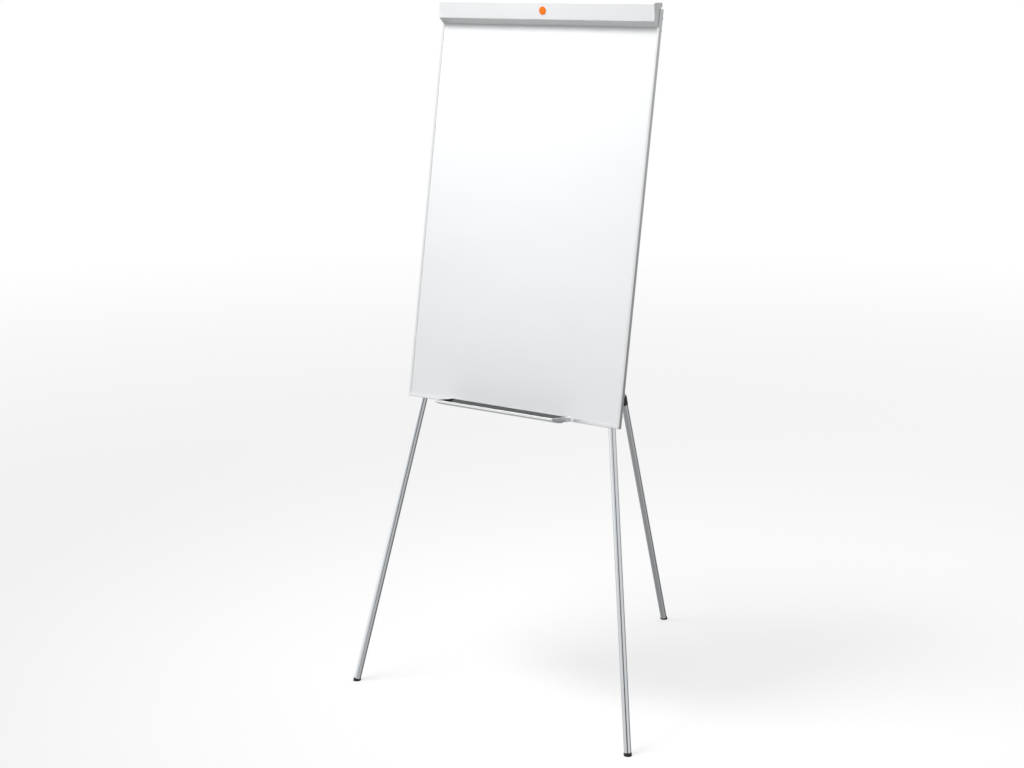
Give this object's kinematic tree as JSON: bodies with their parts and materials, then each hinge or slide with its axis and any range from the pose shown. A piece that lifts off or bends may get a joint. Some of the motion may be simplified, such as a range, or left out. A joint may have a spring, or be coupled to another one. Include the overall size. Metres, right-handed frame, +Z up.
{
  "type": "flipchart easel",
  "caption": "Tripod flipchart easel with a framed writing board, sprung paper clamp, folding pen tray and telescopic legs.",
  "frame": {"origin": "on the floor, in the middle of the footprint of the three feet", "axes": "+X to the right seen from the front, +Y to the back, +Z up; the board faces -Y"},
  "size_m": [0.913, 0.9548, 1.8666],
  "materials": {
    "sheet_white": "gloss enamel writing surface",
    "core": "pressed board core",
    "back_grey": "grey primed backing",
    "frame_silver": "satin anodised",
    "steel_plate": "silver grey powder coat",
    "bracket_dark": "dark powder coat",
    "zinc": "bright zinc plated",
    "clamp_white": "pearl white lacquer",
    "cap_grey": "light grey moulded",
    "rubber_black": "matte",
    "badge_orange": "gloss",
    "tube_silver": "satin chromed tube",
    "plastic_black": "moulded nylon",
    "tray_silver": "satin anodised",
    "liner_dark": "ribbed moulded liner"
  },
  "bodies": {
    "board": {"face_sheet": "sheet_white", "board_core": "core", "back_sheet": "back_grey", "frame_left": "frame_silver", "frame_right": "frame_silver", "frame_top": "frame_silver", "frame_bottom": "frame_silver", "corner_keys": "zinc", "top_rail": "steel_plate", "lower_rail": "steel_plate", "leg_guide_left": "bracket_dark", "leg_guide_right": "bracket_dark", "rail_rivets": "zinc", "bracket_screws": "zinc", "leg_hub_left": "bracket_dark", "leg_hub_right": "bracket_dark", "front_leg_pins": "zinc", "rear_leg_bracket": "bracket_dark", "rear_leg_pin": "zinc", "clamp_rod": "zinc", "clamp_brackets": "bracket_dark", "clamp_springs": "zinc", "peg_rail": "frame_silver", "tray_lug_left": "cap_grey", "tray_lug_right": "cap_grey", "tray_pins": "zinc"},
    "peg_left": {"peg_left": "plastic_black"},
    "peg_right": {"peg_right": "plastic_black"},
    "clamp": {"clamp_bar": "clamp_white", "clamp_cap_left": "cap_grey", "clamp_cap_right": "cap_grey", "clamp_grip": "rubber_black", "clamp_badge": "badge_orange"},
    "tray": {"pen_tray": "tray_silver", "tray_end_left": "tray_silver", "tray_end_right": "tray_silver", "tray_liner": "liner_dark"},
    "left_upper": {"leg_end_left": "plastic_black", "upper_tube_left": "tube_silver", "slider_left": "plastic_black"},
    "left_lower": {"lower_tube_left": "tube_silver", "bush_left": "plastic_black", "foot_left": "rubber_black"},
    "left_collar": {"collar_left": "plastic_black"},
    "right_upper": {"leg_end_right": "plastic_black", "upper_tube_right": "tube_silver", "slider_right": "plastic_black"},
    "right_lower": {"lower_tube_right": "tube_silver", "bush_right": "plastic_black", "foot_right": "rubber_black"},
    "right_collar": {"collar_right": "plastic_black"},
    "rear_upper": {"leg_end_rear": "plastic_black", "upper_tube_rear": "tube_silver", "slider_rear": "plastic_black"},
    "rear_lower": {"lower_tube_rear": "tube_silver", "bush_rear": "plastic_black", "foot_rear": "rubber_black"},
    "rear_collar": {"collar_rear": "plastic_black"}
  },
  "joints": [
    {"name": "clamp_open", "type": "hinge", "parent": "board", "child": "clamp", "pos_m": [0, -0.17499, 1.86007], "axis": [-1, 0, 0], "range_deg": [0, 60], "stiffness_Nm_per_rad": 0.4, "springref_deg": -34.38},
    {"name": "tray_fold", "type": "hinge", "parent": "board", "child": "tray", "pos_m": [0, -0.36443, 0.82364], "axis": [-1, 0, 0], "range_deg": [0, 88]},
    {"name": "peg_left_slide", "type": "slide", "parent": "board", "child": "peg_left", "axis": [-1, 0, 0], "range_m": [-0.06, 0.02]},
    {"name": "peg_right_slide", "type": "slide", "parent": "board", "child": "peg_right", "axis": [1, 0, 0], "range_m": [-0.06, 0.02]},
    {"name": "left_leg_splay", "type": "hinge", "parent": "board", "child": "left_upper", "pos_m": [-0.124, -0.16243, 1.80522], "axis": [0, -0.9861, 0.1663], "range_deg": [0, 9.9]},
    {"name": "left_leg_slide", "type": "slide", "parent": "left_upper", "child": "left_lower", "axis": [0.1731, 0.1637, 0.9712], "range_m": [0, 0.75]},
    {"name": "left_collar_twist", "type": "hinge", "parent": "left_lower", "child": "left_collar", "pos_m": [-0.28999, -0.31942, 0.87407], "axis": [0.1731, 0.1637, 0.9712], "range_deg": [0, 90]},
    {"name": "right_leg_splay", "type": "hinge", "parent": "board", "child": "right_upper", "pos_m": [0.124, -0.16243, 1.80522], "axis": [0, 0.9861, -0.1663], "range_deg": [0, 9.9]},
    {"name": "right_leg_slide", "type": "slide", "parent": "right_upper", "child": "right_lower", "axis": [-0.1731, 0.1637, 0.9712], "range_m": [0, 0.75]},
    {"name": "right_collar_twist", "type": "hinge", "parent": "right_lower", "child": "right_collar", "pos_m": [0.28999, -0.31942, 0.87407], "axis": [-0.1731, 0.1637, 0.9712], "range_deg": [0, 90]},
    {"name": "rear_leg_fold", "type": "hinge", "parent": "board", "child": "rear_upper", "pos_m": [0, -0.15324, 1.81584], "axis": [-1, 0, 0], "range_deg": [0, 28.2]},
    {"name": "rear_leg_slide", "type": "slide", "parent": "rear_upper", "child": "rear_lower", "axis": [0, -0.3229, 0.9464], "range_m": [0, 0.61]},
    {"name": "rear_collar_twist", "type": "hinge", "parent": "rear_lower", "child": "rear_collar", "pos_m": [0, 0.21963, 0.72307], "axis": [0, -0.3229, 0.9464], "range_deg": [0, 90]}
  ]
}
